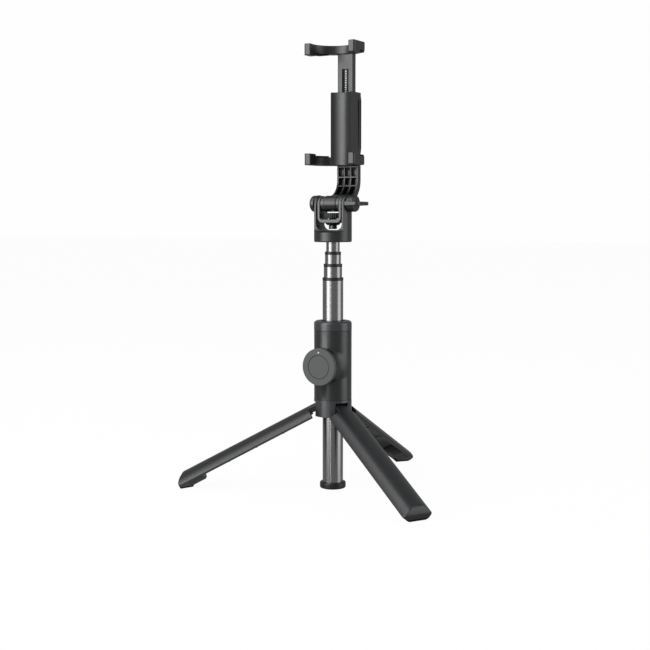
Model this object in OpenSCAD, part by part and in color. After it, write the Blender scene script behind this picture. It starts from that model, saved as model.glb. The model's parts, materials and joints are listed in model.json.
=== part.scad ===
// Telescopic selfie stick with a folding tripod, a phone clamp and a pull-off remote.
// The origin is on the stick's axis at ground level, +Z is up, and the remote faces -Y.

/* [Pole] */
// Outer diameter of the outermost tube
outer_tube_od = 14.7; // [14.5:0.1:14.9]
// Difference in diameter between one tube and the next
tube_step = 1.7; // [1.65:0.05:1.8]
// Wall thickness of every tube
tube_wall = 0.5; // [0.45:0.05:0.55]
// Height of the outermost tube's mouth above the ground
outer_tube_top = 149.5; // [148:0.5:151]
// Height of the visible ring of each mouth bush
bush_height = 2.2; // [1.8:0.1:2.4]
// Diameter of the end cap's flange
end_cap_d = 18.7; // [17:0.1:19]
// Height of the end cap's flange
end_cap_height = 4.5; // [4:0.5:5]

/* [Handle] */
// Radius of the handle
handle_r = 13.4; // [13.4:0.1:13.6]
// Height of the handle's lower end above the ground
handle_bottom = 52.7; // [52:0.1:53]
// Height of the leg hub
hub_height = 12; // [11:0.05:12.2]
// Length of the handle's shell
shell_height = 49.5; // [45:0.05:52]
// Height of the top collar
collar_height = 6.8; // [6:0.1:8]

/* [Legs] */
// Angle of an open leg below the horizontal
leg_angle = 27.8; // [27.6:0.1:28]
// Distance of each hinge pin from the stick's axis
hinge_r = 10; // [9.9:0.1:10.1]
// Length of a leg from its hinge pin
leg_length = 115.2; // [114:0.1:116]
// Thickness of a leg's shell
leg_wall = 2.9; // [2.5:0.1:3]
// Width of the tongue that carries the hinge pin
tongue_w = 9.4; // [8:0.1:9.4]

/* [Remote] */
// Radius of the remote's disc
remote_r = 13.2; // [12.8:0.1:13.4]
// Height of the remote's centre above the ground
remote_height = 89.5; // [88:0.5:91]
// Radius of the shutter button
button_r = 8.15; // [7:0.05:8.3]

/* [Head] */
// Height of the head cup's lower end above the ground
cup_bottom = 176.8; // [176.8:0.1:178]
// Height of the tilt axis above the head cup's lower end
pivot_rise = 27; // [27:0.1:27.4]
// Width between the head cup's ears
ear_gap = 20.8; // [20.8:0.1:21]
// Thickness of the head cup from its front flat to its back flat
ear_depth = 12; // [11.6:0.1:12.4]
// Radius of the tilt barrel
barrel_r = 5.7; // [5.5:0.1:5.8]

/* [Phone clamp] */
// Phone width that the clamp holds at rest
phone_w = 70.9; // [65:0.1:75]
// Height of the lower pad's top above the ground
pad_height = 238.05; // [238:0.05:239]
// Outer radius of the jaws' crescent
jaw_r = 22.1; // [21.6:0.1:22.6]
// Inner radius of the jaws' crescent, which straddles the folded stick
jaw_hollow_r = 15.5; // [15:0.1:16]
// Width of the neck
neck_w = 17.3; // [16.5:0.1:17.5]

/* [Hidden] */
$fn = 72;
fit = 0.03; // running clearance on a radius
gap = 0.3; // air between pieces that pass each other
slip = 0.05; // clearance of a piece seated in its own housing

handle_shell_bottom = handle_bottom + hub_height;
handle_shell_top = handle_shell_bottom + shell_height;
handle_top = handle_shell_top + collar_height;
shell_wall = 2;
sleeve_r = 9;
pole_bore_r = outer_tube_od / 2 + 0.35;
seat_r = handle_r - shell_wall - slip;
hub_screw_at = 10.2;
hub_screw_r = 1;
hub_screw_head_r = 1.9;

hinge_z = 59.1;
pin_r = 0.9;
pin_half = 7.4;
knuckle_r = 2.2;
leg_start = 7;
block_start = 96.2;
tip_start = 107.5;
tip_r = 8;
sole_h = 1.4;
left_leg = -150;
right_leg = -30;
rear_leg = 90;

cap_spigot = 7.5;
sleeve_drop = 8; // how far a mouth bush reaches into its tube
slider_h = 5;
slider_spigot = 6;
tube_tops = [outer_tube_top, 159.2, 167.8, 181];
slider_lows = [0, 25, 44, 63.5];

remote_front_y = 20.3;
remote_back_y = 15.4;
remote_split_y = 17.5;
light_rise = 10.3;
dock_r = 12.1;
dock_bore = 9.6;
spigot_r = 9.3; // the remote's battery boss, which plugs into the dock
spigot_y = 10.9;
cell_r = 8;

pivot_z = cup_bottom + pivot_rise;
lip_z = pivot_z - 18.6;
floor_z = lip_z - 4;
ear_w = 2.5;
ear_outer = ear_gap / 2 + ear_w;
boss_r = 5.8; // the bolt cap's and the knob hub's radius
spotface_r = boss_r + gap;
washer_r = 5.5;
spacer_r = 5.3;
insert_r = 3;
plug_screw_r = 1.5;
bolt_r = 2;
bolt_bore_r = bolt_r + slip;
arm_outer = 9.7;
arm_inner = 7.6;
knuckle_half = 4.8;
yoke_half_y = 5.6;
crossbar_top = pivot_z - 11;
crossbar_bottom = pivot_z - 13.6;
stud_r = 3.175;
stud_tip = pivot_z - 17.9;
stud_chamfer = 0.6;
shank_r = 2.8; // the stud's plain part, thinner than its thread
pad_h = 1.5;
pad_r = 5.6;
thread_top = crossbar_bottom - pad_h - 0.2;
wheel_r = 6.2;
wheel_h = 4;
wheel_low = crossbar_top + 0.5;

neck_front = 20.7;
neck_t = 4.3;
bend_r = 11.5;
bend = [neck_front - bend_r, pivot_z + barrel_r + bend_r];
neck_base_y = 6.8;
jaw_bottom = pad_height - 6.95;
grip_t = 0.85;
phone_front = 2.8;
phone_back = 10.6;
hook_rise = 1.2;
prong_y = -6;
prong_in = 15.3;
prong_out = 20.4;
prong_corner = 1.5;
jaw_h = 6.9;
top_pad = pad_height + phone_w;
housing_top = 283;
channel_half = 6.6;
channel_y = [17, 21.6];
slide_low = 250;
spring_r = 1.9;
spring_low = 235;
spring_high = 299;
cover_y = 21.7;
clamp_back = neck_front + neck_t;
cover_screw_at = [7.6, 244, 277]; // sideways, and the two heights
cover_screw_r = 0.6;
cover_head_r = 0.98;
neck_screw_x = 5;
neck_screw_r = 0.75;

function tube_od(n) = outer_tube_od - n * tube_step;
function bore_od(n) = tube_od(n) - 2 * tube_wall;

// A ring with its lower end at low and its upper end at high.
module ring(outer_r, inner_r, low, high) {
    translate([0, 0, low])
        difference() {
            cylinder(h = high - low, r = outer_r);
            translate([0, 0, -1])
                cylinder(h = high - low + 2, r = inner_r);
        }
}

// A cylinder along X from one end to the other.
module rod_x(r, from, to) {
    translate([from, 0, 0])
        rotate([0, 90, 0])
            cylinder(h = to - from, r = r);
}

// A disc profile, half of it, with rounded outer corners of radius e at both ends.
module rounded_half_disc(r, h, e) {
    square([r - e, h]);
    translate([0, e])
        square([r, h - 2 * e]);
    for (y = [e, h - e])
        translate([r - e, y])
            circle(r = e);
}

// A strip from y = 0 upwards, with its two lower corners rounded to radius e.
module rounded_strip(half, length, e) {
    translate([-half, e])
        square([2 * half, length - e]);
    translate([e - half, 0])
        square([2 * (half - e), length]);
    for (side = [-1, 1])
        translate([side * (half - e), e])
            circle(r = e);
}

// ---- Handle ----

module handle_shell() {
    color([0.16, 0.16, 0.17])
        union() {
            difference() {
                translate([0, 0, handle_shell_bottom])
                    ring(handle_r, handle_r - shell_wall, 0, shell_height);
                translate([0, 0, remote_height])
                    rotate([90, 0, 0])
                        cylinder(h = 20, r = dock_bore);
            }
            difference() {
                translate([0, 0, remote_height])
                    rotate([90, 0, 0])
                        ring(dock_r, dock_bore, 2, remote_back_y - 0.1);
                translate([0, 0, handle_shell_bottom])
                    cylinder(h = shell_height, r = handle_r - shell_wall / 2);
            }
        }
}

module guide_sleeve() {
    color([0.1, 0.1, 0.1])
        difference() {
            union() {
                translate([0, 0, handle_shell_bottom + 4])
                    cylinder(h = shell_height - 7.2, r = sleeve_r);
                for (z = [handle_shell_bottom + 4.2, handle_shell_top - 5.4])
                    translate([0, 0, z])
                        cylinder(h = 2, r = seat_r);
            }
            translate([0, 0, handle_shell_bottom])
                cylinder(h = shell_height, r = outer_tube_od / 2 + fit);
        }
}

module top_collar() {
    edge = 2.2;
    color([0.2, 0.2, 0.21])
        translate([0, 0, handle_shell_top])
            difference() {
                rotate_extrude()
                    union() {
                        square([handle_r + 0.1 - edge, collar_height]);
                        square([handle_r + 0.1, collar_height - edge]);
                        translate([handle_r + 0.1 - edge, collar_height - edge])
                            circle(r = edge);
                        translate([sleeve_r + 0.3, -3])
                            square([seat_r - sleeve_r - 0.3, 3]);
                    }
                translate([0, 0, -4])
                    cylinder(h = 20, r = pole_bore_r);
                translate([0, 0, collar_height - 3.4])
                    cylinder(h = 5, r = 8.8);
            }
}

module leg_hub() {
    slot_w = tongue_w + 2 * gap;
    slot_top = hinge_z + 3.8;
    color([0.18, 0.18, 0.19])
        difference() {
            union() {
                translate([0, 0, handle_bottom])
                    cylinder(h = hub_height, r = handle_r + 0.1);
                translate([0, 0, handle_shell_bottom])
                    cylinder(h = 3.8, r = seat_r);
            }
            translate([0, 0, handle_bottom - 1])
                cylinder(h = hub_height + 6, r = pole_bore_r);
            for (az = [left_leg, right_leg, rear_leg])
                rotate([0, 0, az]) {
                    translate([pole_bore_r - 1, -slot_w / 2, handle_bottom - 1])
                        cube([10, slot_w, slot_top - handle_bottom + 1]);
                    translate([hinge_r, pin_half + 0.1, hinge_z])
                        rotate([90, 0, 0])
                            cylinder(h = 2 * pin_half + 0.2, r = pin_r + 0.01);
                }
            for (az = [-90, 30, 150])
                rotate([0, 0, az])
                    translate([hub_screw_at, 0, handle_bottom - 1]) {
                        cylinder(h = 20, r = hub_screw_r + slip);
                        cylinder(h = 3, r = hub_screw_head_r + 0.1);
                    }
        }
}

module hub_screws() {
    color("silver")
        for (az = [-90, 30, 150])
            rotate([0, 0, az])
                translate([hub_screw_at, 0, handle_bottom + 0.6]) {
                    cylinder(h = 1.4, r = hub_screw_head_r);
                    cylinder(h = 11, r = hub_screw_r);
                }
}

module hinge_pins() {
    color("silver")
        for (az = [left_leg, right_leg, rear_leg])
            rotate([0, 0, az])
                translate([hinge_r, pin_half, hinge_z])
                    rotate([90, 0, 0])
                        cylinder(h = 2 * pin_half, r = pin_r);
}

// ---- Telescopic pole ----

module tube(n, low) {
    color([0.75, 0.75, 0.76])
        ring(tube_od(n) / 2, bore_od(n) / 2, low, tube_tops[n]);
}

// The black ring at a tube's mouth, with the thin sleeve that guides the next tube.
module mouth_bush(n) {
    bore_r = tube_od(n + 1) / 2 + fit;
    color([0.08, 0.08, 0.08]) {
        ring(tube_od(n) / 2 + 0.1, bore_r, tube_tops[n], tube_tops[n] + bush_height);
        ring(bore_od(n) / 2 - fit, bore_r, tube_tops[n] - sleeve_drop, tube_tops[n] + 0.1);
    }
}

// The plug on an inner tube's lower end, which rubs in the tube around it.
module slider(n) {
    low = slider_lows[n];
    color([0.12, 0.12, 0.12])
        difference() {
            union() {
                translate([0, 0, low])
                    cylinder(h = slider_h, r = bore_od(n - 1) / 2 - fit);
                translate([0, 0, low])
                    cylinder(h = slider_h + slider_spigot, r = bore_od(n) / 2 - 0.02);
            }
            translate([0, 0, low - 1])
                cylinder(h = slider_h + slider_spigot + 2, r = bore_od(n) / 2 - 1.2);
        }
}

module outer_tube() {
    tube(0, end_cap_height);
}

module tube_2() {
    tube(1, slider_lows[1] + slider_h);
}

module tube_3() {
    tube(2, slider_lows[2] + slider_h);
}

module tube_4() {
    tube(3, slider_lows[3] + slider_h);
}

module end_cap() {
    color([0.08, 0.08, 0.08])
        difference() {
            union() {
                rotate_extrude()
                    rounded_half_disc(end_cap_d / 2, end_cap_height, 1);
                cylinder(h = end_cap_height + cap_spigot, r = bore_od(0) / 2 - 0.02);
            }
            translate([0, 0, end_cap_height])
                cylinder(h = 20, r = bore_od(0) / 2 - 1.6);
        }
}

module swivel_plug() {
    color("dimgray")
        translate([0, 0, tube_tops[3] - 12])
            difference() {
                cylinder(h = 12, r = bore_od(3) / 2 - 0.02);
                translate([0, 0, 2])
                    cylinder(h = 20, r = plug_screw_r + 0.02);
            }
}

module swivel_screw() {
    color("silver")
        translate([0, 0, floor_z + 2.5]) {
            difference() {
                cylinder(h = 1.3, r = 2.8);
                translate([-2, -0.3, 0.7])
                    cube([4, 0.6, 2]);
            }
            translate([0, 0, -10])
                cylinder(h = 10.2, r = plug_screw_r);
        }
}

// ---- Head cup and tilt pivot ----

module head_cup() {
    corner = 4.5;
    scoop = 3.4;
    ledge_z = lip_z - 1.5;
    color([0.17, 0.17, 0.18])
        difference() {
            translate([0, 0, cup_bottom])
                rotate_extrude()
                    union() {
                        translate([0, 0.8])
                            square([handle_r, pivot_rise + 5.2]);
                        square([handle_r - 0.8, 5]);
                        translate([handle_r - 0.8, 0.8])
                            circle(r = 0.8);
                    }
            for (side = [0, 180])
                rotate([0, 0, side])
                    translate([-20, ear_depth / 2, ledge_z])
                        rotate([90, 0, 90])
                            linear_extrude(40)
                                union() {
                                    translate([scoop, 0])
                                        square([20, 40]);
                                    translate([0, scoop])
                                        square([20, 40]);
                                    translate([scoop, scoop])
                                        circle(r = scoop);
                                }
            translate([0, 10, lip_z])
                rotate([90, 0, 0])
                    linear_extrude(20)
                        union() {
                            translate([-ear_gap / 2, corner])
                                square([ear_gap, 40]);
                            translate([-ear_gap / 2 + corner, 0])
                                square([ear_gap - 2 * corner, 10]);
                            for (side = [-1, 1])
                                translate([side * (ear_gap / 2 - corner), corner])
                                    circle(r = corner);
                        }
            translate([0, 0, pivot_z])
                rotate([0, 90, 0])
                    difference() {
                        translate([-20, -20, -20])
                            cube([20, 40, 40]);
                        translate([0, 0, -25])
                            cylinder(h = 50, r = ear_depth / 2);
                    }
            translate([0, 0, pivot_z]) {
                rod_x(bolt_bore_r, -20, 20);
                rod_x(spotface_r, ear_outer, 20);
                rod_x(spotface_r, -20, -ear_outer);
            }
            translate([0, 0, cup_bottom - 1])
                cylinder(h = floor_z - cup_bottom + 1, r = tube_od(3) / 2 + slip);
            translate([0, 0, floor_z - 1])
                cylinder(h = 10, r = plug_screw_r + 0.06);
            translate([0, 0, floor_z + 2])
                cylinder(h = 10, r = 3.1);
        }
}

module swivel_washer() {
    color("silver")
        ring(2.9, plug_screw_r + 0.06, floor_z + 2.02, floor_z + 2.45);
}

module pivot_bolt() {
    color("silver")
        translate([0, 0, pivot_z]) {
            rod_x(bolt_r, -ear_outer - 0.5, 18);
            translate([-ear_outer - 2.8, 0, 0])
                rotate([0, 90, 0])
                    cylinder(h = 2.75, r = 4, $fn = 6);
        }
}

module pivot_cap() {
    edge = 1.6;
    cap_h = 3.7;
    color([0.17, 0.17, 0.18])
        translate([-ear_outer - 0.02, 0, pivot_z])
            rotate([0, -90, 0])
                difference() {
                    rotate_extrude()
                        union() {
                            square([boss_r - edge, cap_h]);
                            square([boss_r, cap_h - edge]);
                            translate([boss_r - edge, cap_h - edge])
                                circle(r = edge);
                        }
                    translate([0, 0, -1])
                        cylinder(h = 3.82, r = 4.05, $fn = 6);
                }
}

module friction_washers() {
    color([0.1, 0.1, 0.1])
        translate([0, 0, pivot_z])
            for (side = [0, 180])
                rotate([0, 0, side])
                    difference() {
                        rod_x(washer_r, arm_outer + slip, ear_gap / 2 - slip);
                        rod_x(bolt_bore_r, 0, 20);
                    }
}

module spacer_collars() {
    color([0.2, 0.2, 0.21])
        translate([0, 0, pivot_z])
            for (side = [0, 180])
                rotate([0, 0, side])
                    difference() {
                        rod_x(spacer_r, knuckle_half + 0.1, arm_inner - 0.1);
                        rod_x(bolt_bore_r, 0, 20);
                    }
}

module wing_knob() {
    start = ear_outer + gap;
    hub_h = 5.9;
    edge = 1.2;
    color([0.18, 0.18, 0.19])
        translate([0, 0, pivot_z])
            difference() {
                union() {
                    translate([start, 0, 0])
                        rotate([0, 90, 0])
                            rotate_extrude()
                                union() {
                                    square([boss_r - edge, hub_h]);
                                    square([boss_r, hub_h - edge]);
                                    translate([boss_r - edge, hub_h - edge])
                                        circle(r = edge);
                                }
                    intersection() {
                        translate([0, 0, -2])
                            linear_extrude(4)
                                union() {
                                    translate([start + 0.7, -8.9])
                                        square([8, 17.8]);
                                    translate([start + 0.7, -5.9])
                                        square([11, 11.8]);
                                    for (side = [-1, 1])
                                        translate([start + 8.7, side * 5.9])
                                            circle(r = 3);
                                }
                        rotate([90, 0, 0])
                            translate([0, 0, -10])
                                linear_extrude(20)
                                    polygon([
                                        [start, -1.7], [start + 12, -1.2],
                                        [start + 12, 1.2], [start, 1.7]
                                    ]);
                    }
                }
                rod_x(insert_r + slip, ear_outer, start + 5.1);
            }
}

module knob_insert() {
    start = ear_outer + gap;
    color("goldenrod")
        translate([0, 0, pivot_z])
            difference() {
                rod_x(insert_r, start, start + 5);
                rod_x(bolt_bore_r, ear_outer, start + 6);
            }
}

// ---- Camera yoke ----

module camera_yoke() {
    corner = 4;
    recess = 1.5;
    color([0.19, 0.19, 0.2])
        difference() {
            union() {
                translate([0, 0, pivot_z])
                    for (side = [0, 180])
                        rotate([0, 0, side])
                            rod_x(yoke_half_y, arm_inner, arm_outer);
                translate([0, yoke_half_y, 0])
                    rotate([90, 0, 0])
                        linear_extrude(2 * yoke_half_y)
                            difference() {
                                union() {
                                    translate([-arm_outer, crossbar_bottom + corner])
                                        square([2 * arm_outer, pivot_z - crossbar_bottom - corner]);
                                    translate([-arm_outer + corner, crossbar_bottom])
                                        square([2 * (arm_outer - corner), 8]);
                                    for (side = [-1, 1])
                                        translate([side * (arm_outer - corner), crossbar_bottom + corner])
                                            circle(r = corner);
                                }
                                translate([-arm_inner, crossbar_top + 4.9])
                                    square([2 * arm_inner, 20]);
                                translate([-arm_inner + recess, crossbar_top])
                                    square([2 * (arm_inner - recess), 6]);
                                translate([-arm_inner, crossbar_top + recess])
                                    square([2 * arm_inner, 6]);
                                for (side = [-1, 1])
                                    translate([side * (arm_inner - recess), crossbar_top + recess])
                                        circle(r = recess);
                            }
            }
            translate([0, 0, pivot_z])
                rod_x(bolt_bore_r + 0.01, -20, 20);
            translate([0, 0, crossbar_bottom - 1])
                cylinder(h = 5, r = stud_r + 0.1);
        }
}

module camera_pad() {
    color([0.1, 0.1, 0.1])
        difference() {
            translate([0, 0, crossbar_bottom - pad_h])
                cylinder(h = pad_h, r1 = pad_r - pad_h, r2 = pad_r);
            translate([0, 0, crossbar_bottom - pad_h - 1])
                cylinder(h = pad_h + 2, r = stud_r + gap);
        }
}

module camera_stud() {
    color("silver") {
        translate([0, 0, stud_tip])
            cylinder(h = stud_chamfer, r1 = stud_r - stud_chamfer, r2 = stud_r);
        translate([0, 0, stud_tip + stud_chamfer])
            cylinder(h = thread_top - stud_tip - stud_chamfer, r = stud_r);
        translate([0, 0, thread_top - 0.5])
            cylinder(h = wheel_low + wheel_h - thread_top + 0.5, r = shank_r);
    }
}

module thumb_wheel() {
    notches = 24;
    color([0.1, 0.1, 0.1])
        translate([0, 0, wheel_low])
            difference() {
                cylinder(h = wheel_h, r = wheel_r);
                translate([0, 0, -1])
                    cylinder(h = wheel_h + 2, r = shank_r + 0.02);
                for (i = [0 : notches - 1])
                    rotate([0, 0, i * 360 / notches])
                        translate([wheel_r + 0.15, 0, -1])
                            cylinder(h = wheel_h + 2, r = 0.5);
            }
}

// ---- Neck and phone clamp ----

// The piece of a ring, seen from the side, between two angles below the horizontal.
module bend_slice(inner_r, outer_r, from, to) {
    far = 2 * outer_r;
    translate(bend)
        intersection() {
            difference() {
                circle(r = outer_r);
                circle(r = inner_r);
            }
            polygon([
                [0, 0], [far * cos(from), -far * sin(from)],
                [far * cos(to), -far * sin(to)]
            ]);
        }
}

module neck_arm() {
    pocket_w = 4;
    pocket_pitch = 5.2;
    pocket_depth = 3.1;
    rib = 1.2;
    color([0.17, 0.17, 0.18])
        difference() {
            union() {
                translate([-neck_w / 2, 0, 0])
                    rotate([90, 0, 90])
                        linear_extrude(neck_w)
                            union() {
                                translate([neck_front, bend.y - 0.01])
                                    square([neck_t, jaw_bottom - bend.y + 0.01]);
                                bend_slice(bend_r, bend_r + neck_t, 0, 90);
                                translate([neck_base_y, bend.y - bend_r - neck_t])
                                    square([bend.x - neck_base_y + 0.01, neck_t]);
                            }
                translate([0, 0, pivot_z])
                    rod_x(barrel_r, -knuckle_half, knuckle_half);
                translate([-knuckle_half, 0, bend.y - bend_r - neck_t])
                    cube([2 * knuckle_half, neck_base_y + 1, neck_t - 0.02]);
            }
            for (column = [-1, 0, 1])
                translate([column * pocket_pitch - pocket_w / 2, 0, 0])
                    rotate([90, 0, 90])
                        linear_extrude(pocket_w)
                            union() {
                                translate([neck_front - 1, bend.y + 1.4 + rib])
                                    square([pocket_depth + 1, jaw_bottom - bend.y - 2 * rib - 1.4]);
                                translate([neck_front - 1, bend.y])
                                    square([pocket_depth + 1, 1.4]);
                                bend_slice(bend_r - 1, bend_r + pocket_depth, 0, 18);
                                bend_slice(bend_r - 1, bend_r + pocket_depth, 24, 66);
                            }
            translate([0, 0, pivot_z])
                rod_x(bolt_bore_r + 0.01, -20, 20);
        }
}

// A jaw seen from above: a crescent with two straight prongs.
module jaw_plan() {
    difference() {
        intersection() {
            circle(r = jaw_r);
            translate([0, prong_y])
                rounded_strip(prong_out, 40, prong_corner);
        }
        circle(r = jaw_hollow_r);
        translate([-prong_in, -20])
            square([2 * prong_in, 20]);
    }
}

// The front of the prongs, which hooks over the phone's edge.
module hook_plan() {
    intersection() {
        jaw_plan();
        translate([-30, -20])
            square([60, 20 + phone_front - gap]);
    }
}

module clamp_base() {
    wall_y = 14.3;
    color([0.17, 0.17, 0.18])
        difference() {
            union() {
                translate([0, 0, jaw_bottom])
                    linear_extrude(pad_height - grip_t - jaw_bottom)
                        jaw_plan();
                translate([0, 0, jaw_bottom])
                    linear_extrude(pad_height + hook_rise - jaw_bottom)
                        hook_plan();
                translate([0, 0, jaw_bottom])
                    linear_extrude(housing_top - jaw_bottom)
                        difference() {
                            translate([-neck_w / 2, 5])
                                square([neck_w, channel_y[1] - 5]);
                            circle(r = wall_y);
                        }
                translate([-neck_w / 2, 18, jaw_bottom])
                    cube([neck_w, clamp_back - 18, pad_height - grip_t - jaw_bottom]);
            }
            translate([-channel_half, channel_y[0], jaw_bottom + 2.6])
                cube([2 * channel_half, 4.61, 80]);
            for (x = [-1, 1] * cover_screw_at.x, z = [cover_screw_at.y, cover_screw_at.z])
                translate([x, channel_y[0], z])
                    rotate([-90, 0, 0])
                        cylinder(h = 6, r = cover_screw_r + 0.02);
            for (x = [-1, 1] * neck_screw_x)
                translate([x, neck_front + neck_t / 2, jaw_bottom - 1])
                    cylinder(h = 6, r = neck_screw_r + slip);
        }
}

module clamp_cover() {
    low = pad_height - grip_t + 0.1;
    color([0.15, 0.15, 0.16])
        difference() {
            translate([-neck_w / 2, cover_y, low])
                cube([neck_w, clamp_back - cover_y, housing_top - low]);
            for (x = [-1, 1] * cover_screw_at.x, z = [cover_screw_at.y, cover_screw_at.z])
                translate([x, cover_y - 1, z])
                    rotate([-90, 0, 0]) {
                        cylinder(h = 10, r = cover_screw_r + slip);
                        translate([0, 0, 2.9])
                            cylinder(h = 5, r = cover_head_r + 0.04);
                    }
        }
}

module cover_screws() {
    color("silver")
        for (x = [-1, 1] * cover_screw_at.x, z = [cover_screw_at.y, cover_screw_at.z])
            translate([x, cover_y - 4, z])
                rotate([-90, 0, 0]) {
                    cylinder(h = 6, r = cover_screw_r);
                    translate([0, 0, 6])
                        cylinder(h = 0.9, r = cover_head_r);
                }
}

module neck_screws() {
    color("silver")
        for (x = [-1, 1] * neck_screw_x)
            translate([x, neck_front + neck_t / 2, jaw_bottom + 0.02])
                cylinder(h = 4.8, r = neck_screw_r);
}

module pad_plan() {
    intersection() {
        difference() {
            circle(r = jaw_r - 0.4);
            circle(r = jaw_hollow_r + 0.4);
        }
        translate([-prong_out + 0.4, phone_front])
            square([2 * prong_out - 0.8, 12.2 - phone_front]);
    }
}

module lower_pad() {
    color([0.08, 0.08, 0.08])
        translate([0, 0, pad_height - grip_t])
            linear_extrude(grip_t)
                pad_plan();
}

module clamp_spring() {
    coils = 40;
    pitch = (spring_high - spring_low) / coils;
    wire = 0.35;
    color("silver")
        translate([0, (channel_y[0] + channel_y[1]) / 2, spring_low])
            rotate_extrude()
                polygon(concat(
                    [[spring_r - 2 * wire, 0]],
                    [for (i = [0 : 2 * coils]) [spring_r - (i % 2) * wire, i * pitch / 2]],
                    [[spring_r - 2 * wire, spring_high - spring_low]]
                ));
}

module upper_jaw() {
    slide_half = channel_half - gap;
    slide_y = [channel_y[0] + 0.2, channel_y[1] - 0.2];
    color([0.17, 0.17, 0.18])
        difference() {
            union() {
                translate([0, 0, top_pad + grip_t])
                    linear_extrude(jaw_h - grip_t)
                        jaw_plan();
                translate([0, 0, top_pad - hook_rise])
                    linear_extrude(jaw_h)
                        hook_plan();
                translate([-slide_half, slide_y[0], slide_low])
                    cube([2 * slide_half, slide_y[1] - slide_y[0], top_pad + 4 - slide_low]);
            }
            translate([-spring_r - gap, slide_y[0] - 1, slide_low - 1])
                cube([2 * (spring_r + gap), 10, spring_high - slide_low + 1.2]);
        }
}

module upper_pad() {
    color([0.08, 0.08, 0.08])
        translate([0, 0, top_pad])
            linear_extrude(grip_t)
                pad_plan();
}

// ---- Legs: local X runs along the leg, and local Z points out of its back ----

module at_leg(az) {
    rotate([0, 0, az])
        translate([hinge_r, 0, hinge_z])
            rotate([0, leg_angle, 0])
                children();
}

// A third of a ring, around the axis that the stick has when the leg is folded.
module leg_sector(outer_r, inner_r, from, to) {
    side = 0.2;
    translate([from, 0, -hinge_r])
        rotate([0, 90, 0])
            linear_extrude(to - from)
                difference() {
                    intersection() {
                        circle(r = outer_r);
                        polygon([
                            [-side / sin(60), 0],
                            [-side / sin(60) - 20, 20 * tan(60)],
                            [-side / sin(60) - 20, -20 * tan(60)]
                        ]);
                    }
                    circle(r = inner_r);
                }
}

// Everything inside a leg's rounded end: the side outline carried across the leg, within
// the outline seen from its back.
module leg_envelope() {
    back = handle_r - hinge_r;
    tip_corner = 4.5;
    intersection() {
        translate([0, 20, 0])
            rotate([90, 0, 0])
                linear_extrude(40)
                    union() {
                        translate([-5, -30])
                            square([leg_length - tip_r + 5, 30 + back + 0.01]);
                        translate([leg_length - tip_r, back - tip_r])
                            circle(r = tip_r);
                        translate([leg_length - tip_r - 1, -30])
                            square([tip_r + 1, 30 + back - tip_r]);
                    }
        translate([leg_length, 0, -30])
            rotate([0, 0, 90])
                linear_extrude(60)
                    rounded_strip(handle_r - 1.5, leg_length + 10, tip_corner);
    }
}

// The space below the top of the rubber soles.
module ground_slab() {
    translate([-150, -150, sole_h - 20])
        cube([300, 300, 20]);
}

// The solid end of a leg, down to the ground.
module leg_tip() {
    leg_sector(handle_r, 0.4, tip_start, leg_length);
}

module leg_shell(az) {
    inner_r = handle_r - leg_wall;
    color([0.15, 0.15, 0.16])
        difference() {
            at_leg(az)
                intersection() {
                    leg_envelope();
                    difference() {
                        union() {
                            leg_sector(handle_r, inner_r, leg_start, tip_start + 0.1);
                            leg_tip();
                            for (s = [30, 52, 74])
                                leg_sector(inner_r + 0.1, inner_r - 0.7, s, s + 1);
                            leg_tongue();
                        }
                        translate([0, 10, 0])
                            rotate([90, 0, 0])
                                cylinder(h = 20, r = pin_r + slip);
                    }
                }
            ground_slab();
        }
}

// The narrow end of a leg that swings in the hub's slot.
module leg_tongue() {
    back = handle_r - hinge_r;
    intersection() {
        translate([0, tongue_w / 2, 0])
            rotate([90, 0, 0])
                linear_extrude(tongue_w)
                    union() {
                        circle(r = knuckle_r);
                        polygon([
                            [-0.5, back], [leg_start + 3, back],
                            [leg_start + 3, -0.6], [0, -knuckle_r], [-1.8, 0]
                        ]);
                    }
        translate([-5, 0, -hinge_r])
            rotate([0, 90, 0])
                cylinder(h = leg_start + 10, r = handle_r);
    }
}

module foot_wedge(to) {
    leg_sector(handle_r - leg_wall - fit, 2.4, block_start, to);
}

module foot_block(az) {
    color([0.09, 0.09, 0.09])
        difference() {
            at_leg(az)
                foot_wedge(tip_start - slip);
            ground_slab();
        }
}

module sole(az) {
    color([0.06, 0.06, 0.06])
        intersection() {
            at_leg(az)
                intersection() {
                    leg_envelope();
                    union() {
                        leg_tip();
                        foot_wedge(tip_start + 0.1);
                    }
                }
            translate([-150, -150, 0])
                cube([300, 300, sole_h]);
        }
}

// ---- Remote: local Z points out of the stick's front ----

module at_remote() {
    translate([0, 0, remote_height])
        rotate([90, 0, 0])
            children();
}

module remote_front() {
    color([0.42, 0.42, 0.42])
        at_remote()
            difference() {
                translate([0, 0, remote_split_y])
                    rotate_extrude()
                        union() {
                            square([remote_r - 0.6, remote_front_y - remote_split_y]);
                            square([remote_r, remote_front_y - remote_split_y - 0.6]);
                            translate([remote_r - 0.6, remote_front_y - remote_split_y - 0.6])
                                circle(r = 0.6);
                        }
                translate([0, 0, remote_split_y - 1])
                    cylinder(h = 2.6, r = remote_r - 1.2);
                cylinder(h = 30, r = button_r + gap);
                translate([0, light_rise, 0])
                    cylinder(h = 30, r = 0.6);
            }
}

module remote_back() {
    color([0.1, 0.1, 0.1])
        at_remote()
            difference() {
                union() {
                    translate([0, 0, remote_back_y])
                        cylinder(h = remote_split_y - remote_back_y, r = remote_r);
                    translate([0, 0, spigot_y])
                        cylinder(h = 5, r = spigot_r);
                }
                translate([0, 0, 10])
                    cylinder(h = 10, r = cell_r + gap);
                translate([0, 0, remote_back_y + 0.8])
                    cylinder(h = 10, r = remote_r - 1.4);
            }
}

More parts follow.
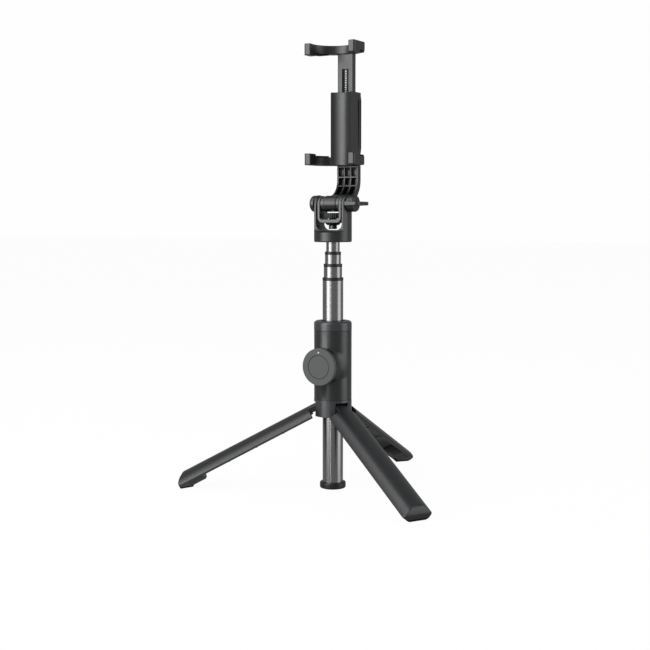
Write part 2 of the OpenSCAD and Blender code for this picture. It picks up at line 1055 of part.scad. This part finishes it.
module battery_door() {
    color([0.12, 0.12, 0.12])
        at_remote()
            difference() {
                translate([0, 0, spigot_y])
                    cylinder(h = 1, r = cell_r + gap - slip);
                translate([-3, -0.6, 10])
                    cube([6, 1.2, 1.4]);
            }
}

module coin_cell() {
    color("silver")
        at_remote()
            translate([0, 0, 12])
                cylinder(h = 3.2, r = cell_r);
}

module circuit_board() {
    color("darkgreen")
        at_remote()
            translate([0, 0, remote_back_y + 0.9])
                cylinder(h = 0.8, r = remote_r - 1.6);
}

module dome_switch() {
    color("silver")
        at_remote()
            translate([0, 0, remote_back_y + 1.7])
                cylinder(h = 0.3, r = 2.5);
}

module status_light() {
    color("white")
        at_remote()
            translate([0, light_rise, remote_back_y + 1.75])
                cylinder(h = remote_front_y - remote_back_y - 1.75, r = 0.55);
}

module remote_button() {
    color([0.42, 0.42, 0.42])
        at_remote() {
            translate([0, 0, 18.1])
                cylinder(h = remote_front_y - 18.1 - 0.05, r = button_r);
            translate([0, 0, 18.1])
                cylinder(h = 0.6, r = button_r + 1.2);
        }
}

handle_shell();
guide_sleeve();
top_collar();
leg_hub();
hub_screws();
hinge_pins();
outer_tube();
end_cap();
mouth_bush(0);  // mouth_bush_1
tube_2();
slider(1);  // slider_2
mouth_bush(1);  // mouth_bush_2
tube_3();
slider(2);  // slider_3
mouth_bush(2);  // mouth_bush_3
tube_4();
slider(3);  // slider_4
swivel_plug();
swivel_screw();
head_cup();
swivel_washer();
pivot_bolt();
pivot_cap();
friction_washers();
spacer_collars();
wing_knob();
knob_insert();
camera_yoke();
camera_pad();
camera_stud();
thumb_wheel();
neck_arm();
clamp_base();
clamp_cover();
cover_screws();
neck_screws();
lower_pad();
clamp_spring();
upper_jaw();
upper_pad();
leg_shell(left_leg);  // leg_left
foot_block(left_leg);  // foot_block_left
sole(left_leg);  // sole_left
leg_shell(right_leg);  // leg_right
foot_block(right_leg);  // foot_block_right
sole(right_leg);  // sole_right
leg_shell(rear_leg);  // leg_rear
foot_block(rear_leg);  // foot_block_rear
sole(rear_leg);  // sole_rear
remote_front();
remote_back();
battery_door();
coin_cell();
circuit_board();
dome_switch();
status_light();
remote_button();
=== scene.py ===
import json
import math

import bmesh
import bpy
import numpy as np
from mathutils import Matrix, Vector


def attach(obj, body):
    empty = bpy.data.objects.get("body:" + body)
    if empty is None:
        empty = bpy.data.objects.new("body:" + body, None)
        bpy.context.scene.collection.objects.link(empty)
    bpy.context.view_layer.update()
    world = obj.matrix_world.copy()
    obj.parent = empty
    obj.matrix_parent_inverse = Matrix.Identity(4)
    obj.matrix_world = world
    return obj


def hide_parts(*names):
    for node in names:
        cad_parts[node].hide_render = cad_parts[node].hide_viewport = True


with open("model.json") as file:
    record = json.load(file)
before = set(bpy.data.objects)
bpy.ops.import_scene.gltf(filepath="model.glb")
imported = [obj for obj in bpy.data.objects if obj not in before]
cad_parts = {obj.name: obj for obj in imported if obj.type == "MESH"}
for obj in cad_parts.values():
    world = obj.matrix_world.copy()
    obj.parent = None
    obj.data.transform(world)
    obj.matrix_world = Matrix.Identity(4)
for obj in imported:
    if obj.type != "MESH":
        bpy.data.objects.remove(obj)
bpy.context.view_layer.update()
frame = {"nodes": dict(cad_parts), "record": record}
record = frame["record"]
nodes = frame["nodes"]
bodyOfNode = {}
for bodyName, members in record["behaviour"]["bodies"].items():
    for member in members:
        bodyOfNode[member] = bodyName
slotOfNode = {s["node"]: s["material_slot"] for s in record["subparts"]}
mm = 0.001
print("frame loaded:", len(nodes), "nodes")


# An sRGB hex colour as linear light: each channel c becomes ((c + 0.055) / 1.055) ^ 2.4,
# or c / 12.92 where it is very dark.
def linear(hexText, alpha=1.0):
    c = np.array([int(hexText[i:i + 2], 16) / 255 for i in (1, 3, 5)])
    c = np.where(c <= 0.04045, c / 12.92, ((c + 0.055) / 1.055) ** 2.4)
    return (*c.tolist(), alpha)


# Adds a node, with its settings, and its inputs as values or links.
def addNode(tree, kind, inputs=None, **settings):
    node = tree.nodes.new(kind)
    for key, value in settings.items():
        setattr(node, key, value)
    for key, value in (inputs or {}).items():
        if isinstance(value, bpy.types.NodeSocket):
            tree.links.new(value, node.inputs[key])
        else:
            node.inputs[key].default_value = value
    return node


# The texture scale that makes one feature this many millimetres wide.
def perMm(width):
    return 1 / (width * mm)


def blankMaterial(name):
    material = bpy.data.materials.new(name)
    material.use_nodes = True
    material.node_tree.nodes.clear()
    return material, material.node_tree


def closeMaterial(material, tree, shader):
    addNode(tree, "ShaderNodeOutputMaterial", {"Surface": shader.outputs[0]})
    return material


# How fine and how rough each noise is. Most of a noise lies in the middle, between 0.3 and 0.7.
grainNoise = {"Detail": 3.0, "Roughness": 0.6}
cloudNoise = {"Detail": 4.0, "Roughness": 0.55}
lineNoise = {"Detail": 2.0}
hazeNoise = {"Detail": 3.0}
noiseMiddle = {"From Min": 0.3, "From Max": 0.7}
palestSpeck, darkestSpeck = "#ffffff", "#f0f0f0"


def noiseAt(tree, place, widthMm, settings):
    return addNode(tree, "ShaderNodeTexNoise", {
        "Vector": place, "Scale": perMm(widthMm), **settings}).outputs["Fac"]


# A colour between two others, by a factor.
def colourBetween(tree, factor, low, high):
    return addNode(tree, "ShaderNodeMix", {
        "Factor": factor, "A": linear(low), "B": linear(high)}, data_type="RGBA")


# A roughness that wanders with a noise, by the look's spread to each side.
def wanderingGloss(tree, noise, look):
    return addNode(tree, "ShaderNodeMapRange", {
        "Value": noise, "To Min": look["rough"] - look["roughSpread"],
        "To Max": look["rough"] + look["roughSpread"], **noiseMiddle}).outputs["Result"]


def bumpFrom(tree, noise, strength, depthMm):
    return addNode(tree, "ShaderNodeBump", {
        "Height": noise, "Strength": strength, "Distance": depthMm * mm}).outputs["Normal"]


# Moulded plastic or rubber: a fine spark-eroded grain as bump and as faint specks, slow cloudy
# flow marks in the colour, and a roughness that wanders with them.
def mouldedMaterial(name, look):
    material, tree = blankMaterial(name)
    place = addNode(tree, "ShaderNodeTexCoord").outputs["Object"]
    grain = noiseAt(tree, place, look["grainMm"], grainNoise)
    cloud = noiseAt(tree, place, look["cloudMm"], cloudNoise)
    colour = colourBetween(tree, cloud, look["dark"], look["light"])
    speck = colourBetween(tree, grain, darkestSpeck, palestSpeck)
    tinted = addNode(tree, "ShaderNodeMix", {
        "Factor": 1.0, "A": colour.outputs["Result"], "B": speck.outputs["Result"]},
        data_type="RGBA", blend_type="MULTIPLY")
    shader = addNode(tree, "ShaderNodeBsdfPrincipled", {
        "Base Color": tinted.outputs["Result"], "Roughness": wanderingGloss(tree, cloud, look),
        "IOR": look["ior"], "Specular IOR Level": look["specular"],
        "Normal": bumpFrom(tree, grain, look["bump"], look["grainDepthMm"])})
    return closeMaterial(material, tree, shader)


# Metal with fine marks drawn out along Z, or round specks where stretch is 1.
def metalMaterial(name, look):
    material, tree = blankMaterial(name)
    place = addNode(tree, "ShaderNodeTexCoord").outputs["Object"]
    drawn = addNode(tree, "ShaderNodeMapping", {
        "Vector": place, "Scale": (1.0, 1.0, look["stretch"])})
    lines = noiseAt(tree, drawn.outputs["Vector"], look["lineMm"], lineNoise)
    haze = noiseAt(tree, place, look["hazeMm"], hazeNoise)
    colour = colourBetween(tree, lines, look["dark"], look["light"])
    shader = addNode(tree, "ShaderNodeBsdfPrincipled", {
        "Base Color": colour.outputs["Result"], "Roughness": wanderingGloss(tree, haze, look),
        "Metallic": 1.0, "Normal": bumpFrom(tree, lines, look["bump"], look["lineDepthMm"])})
    return closeMaterial(material, tree, shader)


# Charcoal ABS, injection moulded in a spark-eroded tool: an even satin that spreads a
# highlight into a soft band. The real grain is 0.1 mm and is drawn at 0.8 mm so it shows.
charcoalAbs = mouldedMaterial("charcoalAbs", {
    "dark": "#16171a", "light": "#1c1d20", "grainMm": 0.8, "cloudMm": 9.0,
    "rough": 0.35, "roughSpread": 0.02, "bump": 0.06, "grainDepthMm": 0.03,
    "ior": 1.53, "specular": 0.7})

# The same ABS from a smoother tool, on the collar, hub, yoke and spacers: glossier, and with a
# paler colour that is painted light, standing in for the brighter highlights these parts take.
satinPaintedLightAbs = mouldedMaterial("satinPaintedLightAbs", {
    "dark": "#2e2f32", "light": "#37383b", "grainMm": 0.8, "cloudMm": 9.0,
    "rough": 0.29, "roughSpread": 0.02, "bump": 0.05, "grainDepthMm": 0.03,
    "ior": 1.53, "specular": 0.7})

# Black acetal, turned or moulded, for rings, bushes and cap: slick, with sharp small glints.
blackAcetal = mouldedMaterial("blackAcetal", {
    "dark": "#17181a", "light": "#1e1f21", "grainMm": 0.3, "cloudMm": 6.0,
    "rough": 0.34, "roughSpread": 0.04, "bump": 0.12, "grainDepthMm": 0.03,
    "ior": 1.48, "specular": 0.5})

# Moulded silicone rubber: dull and nearly black, with a dusty grain.
blackRubber = mouldedMaterial("blackRubber", {
    "dark": "#141415", "light": "#1d1d1e", "grainMm": 0.4, "cloudMm": 4.0,
    "rough": 0.78, "roughSpread": 0.05, "bump": 0.4, "grainDepthMm": 0.06,
    "ior": 1.41, "specular": 0.35})

# Mid-grey ABS with a fine matt grain on the remote's face: flat, with hardly any highlight.
greyAbs = mouldedMaterial("greyAbs", {
    "dark": "#5c5d5d", "light": "#626363", "grainMm": 0.8, "cloudMm": 7.0,
    "rough": 0.6, "roughSpread": 0.03, "bump": 0.06, "grainDepthMm": 0.03,
    "ior": 1.53, "specular": 0.3})

# Stainless steel tube, drawn and polished lengthwise: long faint lines that stretch every
# highlight up and down the tube. The lines are 0.05 mm apart and are drawn at 0.7 mm.
drawnStainless = metalMaterial("drawnStainless", {
    "dark": "#8a8a8a", "light": "#9a9a99", "lineMm": 0.7, "stretch": 0.01, "hazeMm": 12.0,
    "rough": 0.23, "roughSpread": 0.01, "bump": 0.02, "lineDepthMm": 0.001})

# Zinc-plated steel, for screws, pins and springs: bright and slightly clouded.
zincSteel = metalMaterial("zincSteel", {
    "dark": "#a9abad", "light": "#c2c4c6", "lineMm": 0.5, "stretch": 1.0, "hazeMm": 3.0,
    "rough": 0.28, "roughSpread": 0.06, "bump": 0.12, "lineDepthMm": 0.01})

# Turned brass, for the knob's insert: warm, with fine round tool marks.
turnedBrass = metalMaterial("turnedBrass", {
    "dark": "#b08a3e", "light": "#c9a558", "lineMm": 0.3, "stretch": 1.0, "hazeMm": 3.0,
    "rough": 0.3, "roughSpread": 0.05, "bump": 0.1, "lineDepthMm": 0.01})

# Fibreglass circuit board under green solder mask: a faint woven mottling.
boardGreen = mouldedMaterial("boardGreen", {
    "dark": "#123a24", "light": "#1a4d31", "grainMm": 0.5, "cloudMm": 2.0,
    "rough": 0.35, "roughSpread": 0.05, "bump": 0.1, "grainDepthMm": 0.02,
    "ior": 1.55, "specular": 0.5})

# Moulded polycarbonate light pipe, milky white: it shows as a small bright dot.
lightPipe = mouldedMaterial("lightPipe", {
    "dark": "#f2f2f2", "light": "#ffffff", "grainMm": 0.3, "cloudMm": 1.0,
    "rough": 0.3, "roughSpread": 0.04, "bump": 0.05, "grainDepthMm": 0.01,
    "ior": 1.58, "specular": 0.5})

materialOfSlot = {
    "charcoal_abs": charcoalAbs, "black_plastic": blackAcetal, "bright_steel": drawnStainless,
    "zinc_steel": zincSteel, "black_rubber": blackRubber, "grey_abs": greyAbs,
    "brass": turnedBrass, "board_green": boardGreen, "light_pipe": lightPipe}
for nodeName, node in nodes.items():
    for materialSlot in node.material_slots:
        materialSlot.material = materialOfSlot[slotOfNode[nodeName]]
print("materials made:", len(bpy.data.materials))


# Faces of a grid of points, row by row, each row a closed loop. The first point has the
# number given as start.
def gridFaces(rows, columns, start=0):
    r, c = np.meshgrid(np.arange(rows - 1), np.arange(columns), indexing="ij")
    d = (c + 1) % columns
    quads = np.stack([r * columns + c, r * columns + d, (r + 1) * columns + d,
                      (r + 1) * columns + c], axis=-1)
    return quads.reshape(-1, 4) + start


# A piece from points in millimetres and lists of faces.
def newMesh(name, points, faces):
    mesh = bpy.data.meshes.new(name)
    mesh.from_pydata((np.asarray(points) * mm).tolist(), [], [list(f) for f in faces])
    mesh.update()
    return mesh


# Puts a mesh into the scene as the piece that stands for a CAD node.
def addPiece(name, mesh, material, node):
    piece = bpy.data.objects.new(name, mesh)
    bpy.context.scene.collection.objects.link(piece)
    mesh.materials.clear()
    mesh.materials.append(material)
    mesh.shade_smooth()
    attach(piece, bodyOfNode[node])
    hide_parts(node)
    return piece


# Marks the outward edges sharper than the limit. Inward corners stay as they are, so that a
# piece is never larger than its CAD node.
def markEdges(work, limitDeg):
    layer = work.edges.layers.float.new("bevel_weight_edge")
    for edge in work.edges:
        if edge.is_manifold and edge.is_convex:
            edge[layer] = float(edge.calc_face_angle() > math.radians(limitDeg))


# How copies of the CAD are merged and eased.
easing = {"mergeMm": 0.015, "flatDeg": 0.6, "shortMm": 0.02, "sharpDeg": 32, "segments": 3,
          "normalWeight": 90}


# Rounds the marked edges, and weighs the normals by face area, so flat faces stay flat and
# curved ones stay round.
def easeEdges(piece, widthMm):
    bevel = piece.modifiers.new("easedEdges", "BEVEL")
    bevel.width = widthMm * mm
    bevel.segments = easing["segments"]
    bevel.limit_method = "WEIGHT"
    bevel.use_clamp_overlap = False
    weight = piece.modifiers.new("flatFaces", "WEIGHTED_NORMAL")
    weight.keep_sharp = False
    weight.weight = easing["normalWeight"]


# A copy of a mesh, its loose triangles merged, its flat faces made whole and its edges marked.
# A screwed piece has flat faces with holes in them, which shade properly only as triangles.
def mergedCopy(source, name, limitDeg=easing["sharpDeg"], screwed=False):
    mesh = source.copy()
    work = bmesh.new()
    work.from_mesh(mesh)
    bmesh.ops.remove_doubles(work, verts=work.verts, dist=easing["mergeMm"] * mm)
    bmesh.ops.dissolve_limit(work, angle_limit=math.radians(easing["flatDeg"]),
                             verts=work.verts, edges=work.edges, delimit=set())
    bmesh.ops.dissolve_degenerate(work, dist=easing["shortMm"] * mm, edges=work.edges)
    if screwed:
        bmesh.ops.triangulate(work, faces=[f for f in work.faces if len(f.verts) > 4])
    markEdges(work, limitDeg)
    work.to_mesh(mesh)
    work.free()
    mesh.name = name
    if mesh.has_custom_normals:
        mesh.attributes.remove(mesh.attributes["custom_normal"])
    return mesh


# The collar, hub, yoke and spacers take the paler satin ABS, whose paler colour is painted
# light.
easedPieces = {
    "top_collar": {"piece": "topCollar", "edge": 0.35, "material": satinPaintedLightAbs},
    "leg_hub": {"piece": "legHub", "edge": 0.2, "material": satinPaintedLightAbs},
    "head_cup": {"piece": "headCup", "edge": 0.22, "material": charcoalAbs},
    "pivot_cap": {"piece": "pivotCap", "edge": 0.3, "material": charcoalAbs},
    "wing_knob": {"piece": "wingKnob", "edge": 0.45, "material": charcoalAbs},
    "camera_yoke": {"piece": "cameraYoke", "edge": 0.4, "material": satinPaintedLightAbs},
    "thumb_wheel": {"piece": "thumbWheel", "edge": 0.15, "material": blackAcetal},
    "camera_pad": {"piece": "cameraPad", "edge": 0.15, "material": blackRubber},
    "spacer_collars": {"piece": "spacerCollars", "edge": 0.3, "material": satinPaintedLightAbs},
    "neck_arm": {"piece": "neckArm", "edge": 0.3, "material": charcoalAbs},
    "clamp_base": {"piece": "clampBase", "edge": 0.6, "material": charcoalAbs},
    "clamp_cover": {"piece": "clampCover", "edge": 0.35, "material": charcoalAbs},
    "upper_jaw": {"piece": "upperJaw", "edge": 0.6, "material": charcoalAbs},
    "lower_pad": {"piece": "lowerPad", "edge": 0.2, "material": blackRubber},
    "upper_pad": {"piece": "upperPad", "edge": 0.2, "material": blackRubber},
    "leg_left": {"piece": "legLeft", "edge": 0.4, "material": charcoalAbs},
    "leg_right": {"piece": "legRight", "edge": 0.4, "material": charcoalAbs},
    "leg_rear": {"piece": "legRear", "edge": 0.4, "material": charcoalAbs},
    "foot_block_left": {"piece": "footBlockLeft", "edge": 0.3, "material": blackAcetal},
    "foot_block_right": {"piece": "footBlockRight", "edge": 0.3, "material": blackAcetal},
    "foot_block_rear": {"piece": "footBlockRear", "edge": 0.3, "material": blackAcetal},
    "end_cap": {"piece": "endCap", "edge": 0.3, "material": blackAcetal},
    "mouth_bush_1": {"piece": "mouthBush1", "edge": 0.25, "material": blackAcetal},
    "mouth_bush_2": {"piece": "mouthBush2", "edge": 0.25, "material": blackAcetal},
    "mouth_bush_3": {"piece": "mouthBush3", "edge": 0.25, "material": blackAcetal},
    "remote_front": {"piece": "remoteFront", "edge": 0.18, "material": greyAbs},
    "remote_button": {"piece": "remoteButton", "edge": 0.18, "material": greyAbs},
    "remote_back": {"piece": "remoteBack", "edge": 0.2, "material": blackAcetal}}
screwedNodes = ["clamp_base", "clamp_cover", "upper_jaw"]
for nodeName, eased in easedPieces.items():
    easedMesh = mergedCopy(nodes[nodeName].data, eased["piece"],
                           screwed=nodeName in screwedNodes)
    piece = addPiece(eased["piece"], easedMesh, eased["material"], nodeName)
    easeEdges(piece, eased["edge"])
print("eased pieces:", len(easedPieces))


handle = {"radius": 13.4, "wall": 2.0, "bottom": 64.7, "top": 114.2, "dockCentre": 89.5,
          "dockRadius": 12.1, "dockFace": 15.3, "boreRadius": 9.6, "boreNear": -16.5,
          "boreFar": -4.5, "boreSides": 96, "blend": 5.0, "edge": 0.2, "edgeDeg": 50,
          "leastSin": 0.001, "leastCos": 0.05, "leastDock": 1, "endFade": 6,
          "around": 192, "along": 150}


# Smooth maximum of a and b: their maximum, plus k/4 times the square of how far their
# difference falls short of k, as a share of k.
def smoothMax(a, b, k):
    return np.maximum(a, b) + np.maximum(k - np.abs(a - b), 0) ** 2 / (4 * k)


# The handle's outside is a distance from the axis at each angle t from the front and each
# height z. It is the larger, smoothly blended, of the handle's radius and of the dock, whose
# side lies at sqrt(R^2 - dz^2) / sin t and whose face lies at F / cos t. The dock fades out
# towards both ends, and r is never past the dock's face. The inside is a plain cylinder, and
# the two are joined at both ends.
def handleShape(s):
    t = np.linspace(-math.pi, math.pi, s["around"], endpoint=False)[None, :]
    z = np.linspace(s["bottom"], s["top"], s["along"])[:, None]
    dz = z - s["dockCentre"]
    halfWidth = np.sqrt(np.maximum(s["dockRadius"] ** 2 - dz ** 2, 0))
    side = halfWidth / np.maximum(np.abs(np.sin(t)), s["leastSin"])
    ahead = np.cos(t) > s["leastCos"]
    face = np.where(ahead, s["dockFace"] / np.maximum(np.cos(t), s["leastCos"]), 0)
    dock = np.minimum(side, face)
    r = smoothMax(dock, s["radius"] + 0 * dock, s["blend"])
    ends = np.clip(np.minimum(z - s["bottom"], s["top"] - z) / s["endFade"], 0, 1)
    r = s["radius"] + (r - s["radius"]) * ends
    r = np.where(ahead, np.minimum(r, np.maximum(face, s["radius"])), r)
    r = np.where(dock > s["leastDock"], r, s["radius"])
    outer = np.stack([r * np.sin(t), -r * np.cos(t), z + 0 * t], axis=-1).reshape(-1, 3)
    ri = s["radius"] - s["wall"]
    inner = np.stack([ri * np.sin(t) + 0 * z, -ri * np.cos(t) + 0 * z, z + 0 * t],
                     axis=-1).reshape(-1, 3)
    n, m = s["along"], s["around"]
    quads = [gridFaces(n, m), gridFaces(n, m, start=n * m)[:, ::-1]]
    c = np.arange(m)
    d = (c + 1) % m
    high = (n - 1) * m
    quads.append(np.stack([d, c, n * m + c, n * m + d], axis=-1))
    quads.append(np.stack([high + c, high + d, n * m + high + d, n * m + high + c], axis=-1))
    return np.concatenate([outer, inner]), np.concatenate(quads)


# A plain cylinder along Y: at each angle a round the bore's axis, x is r cos a and z is the
# dock's centre plus r sin a.
def boreShape(s):
    sides = s["boreSides"]
    a = np.linspace(0, 2 * math.pi, sides, endpoint=False)
    ring = np.stack([s["boreRadius"] * np.cos(a), 0 * a,
                     s["dockCentre"] + s["boreRadius"] * np.sin(a)], axis=-1)
    points = np.concatenate([ring + [0, s["boreNear"], 0], ring + [0, s["boreFar"], 0]])
    faces = gridFaces(2, sides).tolist()
    faces += [list(range(sides))[::-1], list(range(sides, 2 * sides))]
    return points, faces


# One mesh less another, as a new mesh.
def cutMesh(body, tool, name):
    objects = [bpy.data.objects.new(mesh.name, mesh) for mesh in (body, tool)]
    for each in objects:
        bpy.context.scene.collection.objects.link(each)
    cut = objects[0].modifiers.new("cut", "BOOLEAN")
    cut.operation = "DIFFERENCE"
    cut.solver = "EXACT"
    cut.object = objects[1]
    done = objects[0].evaluated_get(bpy.context.evaluated_depsgraph_get())
    mesh = bpy.data.meshes.new_from_object(done)
    mesh.name = name
    for each in objects:
        bpy.data.objects.remove(each)
    return mesh


handleMesh = cutMesh(newMesh("handleBody", *handleShape(handle)),
                     newMesh("boreTool", *boreShape(handle)), "handleCut")
easedHandle = mergedCopy(handleMesh, "handleSkin", limitDeg=handle["edgeDeg"])
handleSkin = addPiece("handleSkin", easedHandle, charcoalAbs, "handle_shell")
easeEdges(handleSkin, handle["edge"])
print("handle made:", len(handleMesh.polygons), "faces")


stud = {"crest": 3.17, "depth": 0.5, "pitch": 1.27, "tip": 185.9, "chamfer": 0.6,
        "threadTop": 188.5, "shank": 2.8, "top": 197.3, "step": 0.01, "around": 48,
        "along": 150}


# A turned screw: at height z and angle t the radius is the crest less the depth times a
# triangle wave of z / pitch - t / 2 pi, narrowed to the chamfer at the tip, and the plain
# shank above the thread. A point on the axis closes each end.
def studShape(s):
    t = np.linspace(0, 2 * math.pi, s["around"], endpoint=False)[None, :]
    z = np.concatenate([np.linspace(s["tip"], s["threadTop"], s["along"]),
                        [s["threadTop"] + s["step"], s["top"]]])[:, None]
    turn = (z - s["tip"]) / s["pitch"] - t / (2 * math.pi)
    wave = 2 * np.abs(turn - np.floor(turn + 0.5))
    thread = s["crest"] - s["depth"] * wave
    cone = s["crest"] - s["chamfer"] + (z - s["tip"])
    r = np.where(z <= s["threadTop"], np.minimum(thread, cone), s["shank"] + 0 * t)
    points = np.stack([r * np.cos(t), r * np.sin(t), z + 0 * t], axis=-1).reshape(-1, 3)
    rows, m = len(z), s["around"]
    points = np.concatenate([points, [[0, 0, s["tip"]], [0, 0, s["top"]]]])
    c = np.arange(m)
    d = (c + 1) % m
    last = (rows - 1) * m
    faces = gridFaces(rows, m).tolist()
    faces += np.stack([d, c, 0 * c + rows * m], axis=-1).tolist()
    faces += np.stack([last + c, last + d, 0 * c + rows * m + 1], axis=-1).tolist()
    return points, faces


studMesh = newMesh("cameraStud", *studShape(stud))
addPiece("cameraStud", studMesh, zincSteel, "camera_stud")
print("camera screw made")


# The camera stands this far from the stick's axis, turned to the left of the front, and looks
# down by the pitch. Lengths are in millimetres.
view = {"azimuth": 30.47, "pitch": 5.21, "distance": 824.9, "height": 192.87,
        "sideways": -5.643, "lens": 64.25, "sensor": 36, "nearest": 10}
azimuth, pitch = math.radians(view["azimuth"]), math.radians(view["pitch"])
toCamera = Vector((math.sin(azimuth), -math.cos(azimuth), 0))
right = Vector((math.cos(azimuth), math.sin(azimuth), 0))
forward = -toCamera * math.cos(pitch) - Vector((0, 0, math.sin(pitch)))
up = right.cross(forward)
eye = toCamera * view["distance"] + right * view["sideways"] + Vector((0, 0, view["height"]))
cameraData = bpy.data.cameras.new("viewCamera")
cameraData.lens = view["lens"]
cameraData.sensor_width = view["sensor"]
cameraData.clip_start = view["nearest"] * mm
camera = bpy.data.objects.new("viewCamera", cameraData)
turned = Matrix((right, up, -forward)).transposed().to_4x4()
camera.matrix_world = Matrix.Translation(eye * mm) @ turned
bpy.context.scene.collection.objects.link(camera)
bpy.context.scene.camera = camera

# Each light stands at an angle to the left of the camera as the object sees it, at a height
# above the floor, and faces the middle of the stick. Sizes are in metres.
aim = Vector((0, 0, 0.16))
lights = {
    "keyStrip": {"angle": 26, "height": 0.4, "distance": 1.3, "size": (0.08, 1.5),
                 "power": 2},
    "keySoft": {"angle": 54, "height": 0.5, "distance": 1.5, "size": (1.0, 1.4), "power": 17.5},
    "sideFill": {"angle": -76, "height": 0.35, "distance": 1.4, "size": (1.0, 1.4),
                 "power": 6.5},
    "highSoft": {"angle": 62, "height": 1.5, "distance": 0.85, "size": (0.9, 0.9),
                 "power": 6}}
for name, light in lights.items():
    data = bpy.data.lights.new(name, "AREA")
    data.shape = "RECTANGLE"
    data.size, data.size_y = light["size"]
    data.energy = light["power"]
    lamp = bpy.data.objects.new(name, data)
    angle = math.radians(light["angle"])
    flat = toCamera * math.cos(angle) - right * math.sin(angle)
    lamp.location = flat * light["distance"] + Vector((0, 0, light["height"]))
    lamp.rotation_euler = (aim - lamp.location).to_track_quat("-Z", "Y").to_euler()
    bpy.context.scene.collection.objects.link(lamp)

# The studio is white to the camera and dim to everything else, so the dark sides stay dark.
studio = {"backdrop": "#fefefe", "dim": "#989999", "dimStrength": 1.0}
world = bpy.data.worlds.new("studio")
world.use_nodes = True
bpy.context.scene.world = world
tree = world.node_tree
tree.nodes.clear()
seen = addNode(tree, "ShaderNodeBackground", {"Color": linear(studio["backdrop"])})
dim = addNode(tree, "ShaderNodeBackground", {
    "Color": linear(studio["dim"]), "Strength": studio["dimStrength"]})
ray = addNode(tree, "ShaderNodeLightPath")
both = addNode(tree, "ShaderNodeMixShader", {
    0: ray.outputs["Is Camera Ray"], 1: dim.outputs[0], 2: seen.outputs[0]})
addNode(tree, "ShaderNodeOutputWorld", {"Surface": both.outputs[0]})

# White seamless paper, lit from behind: it glows almost evenly, and keeps a faint shadow. Its
# half width, its depth below the soles and its fibres are in millimetres.
paperLook = {"half": 9000.0, "below": 0.02, "fibreMm": 1.5, "dark": "#383838",
             "light": "#3c3c3c", "rough": 0.95, "glow": "#fbfbfb"}
paper, tree = blankMaterial("seamlessPaper")
paperPlace = addNode(tree, "ShaderNodeTexCoord").outputs["Object"]
fibre = noiseAt(tree, paperPlace, paperLook["fibreMm"], {})
sheet = colourBetween(tree, fibre, paperLook["dark"], paperLook["light"])
paperShade = addNode(tree, "ShaderNodeBsdfPrincipled", {
    "Base Color": sheet.outputs["Result"], "Roughness": paperLook["rough"],
    "Specular IOR Level": 0.0, "Emission Color": linear(paperLook["glow"]),
    "Emission Strength": 1.0})
closeMaterial(paper, tree, paperShade)
corners = np.array([[-1, -1, 0], [1, -1, 0], [1, 1, 0], [-1, 1, 0]]) * paperLook["half"]
floor = bpy.data.objects.new("paperFloor", newMesh("paperFloor", corners, [[0, 1, 2, 3]]))
floor.location.z = -paperLook["below"] * mm
floor.data.materials.append(paper)
floor.visible_glossy = False
floor.visible_diffuse = False
bpy.context.scene.collection.objects.link(floor)
bpy.context.scene.view_settings.view_transform = "Standard"
print("camera, lights and floor set")
